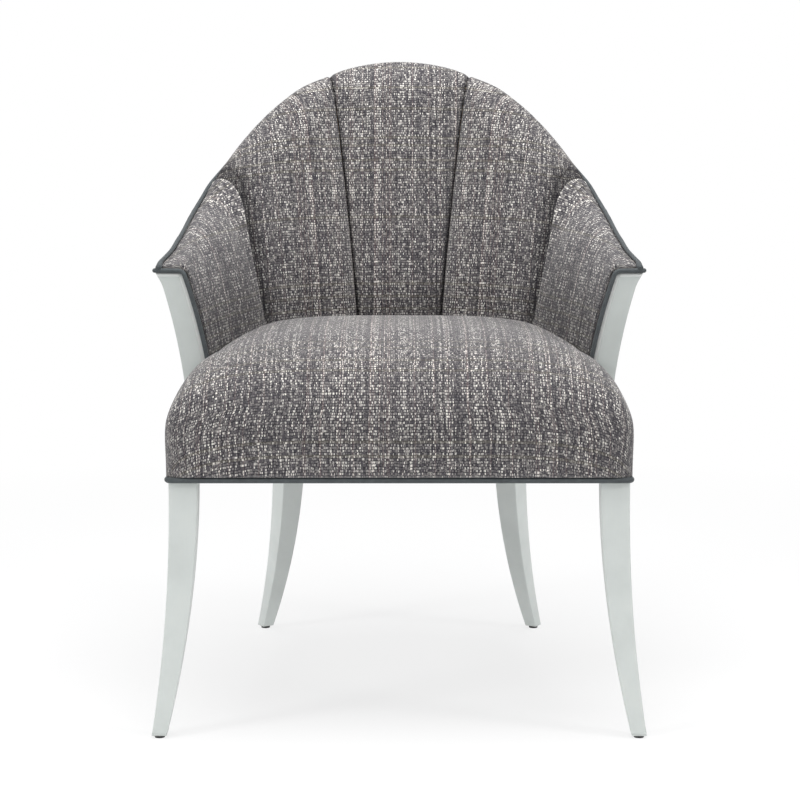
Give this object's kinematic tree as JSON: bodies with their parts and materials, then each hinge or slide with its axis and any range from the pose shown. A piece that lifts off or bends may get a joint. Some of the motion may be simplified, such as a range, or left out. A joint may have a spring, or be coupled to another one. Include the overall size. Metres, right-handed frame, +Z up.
{
  "type": "lounge chair",
  "caption": "Upholstered barrel lounge chair with a channelled fan back, sloping arms with painted posts, a domed tight seat and painted sabre legs.",
  "frame": {"origin": "on the floor, under the middle of the chair's overall box", "axes": "+Z up, -Y to the front of the chair, +X to the right as seen from the front; the chair is symmetrical across X"},
  "size_m": [0.6894, 0.7038, 0.913],
  "materials": {
    "tweed": "woven, matt",
    "welt_cord": "smooth cloth cord, matt",
    "painted_wood": "painted, satin",
    "frame_wood": "planed, bare",
    "foam": "cut foam, matt",
    "webbing": "woven strap, matt",
    "dust_cloth": "thin cloth, matt",
    "steel": "plain",
    "glide_plastic": "matt"
  },
  "bodies": {
    "root": {"arm_front_welt_left": "welt_cord", "arm_front_welt_right": "welt_cord", "arm_pad_left": "foam", "arm_pad_right": "foam", "arm_post_bolts": "steel", "arm_post_left": "painted_wood", "arm_post_right": "painted_wood", "arm_rail_left": "frame_wood", "arm_rail_right": "frame_wood", "arm_slat_left": "frame_wood", "arm_slat_right": "frame_wood", "back_pad_centre": "foam", "back_pad_left": "foam", "back_pad_right": "foam", "back_rail": "frame_wood", "back_slat_left": "frame_wood", "back_slat_right": "frame_wood", "back_webbing": "webbing", "corner_block_bolts": "steel", "crest_rail": "frame_wood", "dust_cover": "dust_cloth", "front_corner_block_left": "frame_wood", "front_corner_block_right": "frame_wood", "front_leg_left": "painted_wood", "front_leg_right": "painted_wood", "front_rail": "frame_wood", "glide_nails": "steel", "glides": "glide_plastic", "inside_arm_cover_left": "tweed", "inside_arm_cover_right": "tweed", "inside_cover_centre": "tweed", "inside_cover_left": "tweed", "inside_cover_right": "tweed", "outer_welt": "welt_cord", "outside_arm_cover_left": "tweed", "outside_arm_cover_right": "tweed", "outside_back_cover": "tweed", "rail_tenons": "frame_wood", "rear_corner_block_left": "frame_wood", "rear_corner_block_right": "frame_wood", "rear_leg_left": "painted_wood", "rear_leg_right": "painted_wood", "seat_cover": "tweed", "seat_foam": "foam", "seat_webbing_cross": "webbing", "seat_webbing_lengthwise": "webbing", "seat_welt": "welt_cord", "side_rail_left": "frame_wood", "side_rail_right": "frame_wood"}
  },
  "joints": []
}
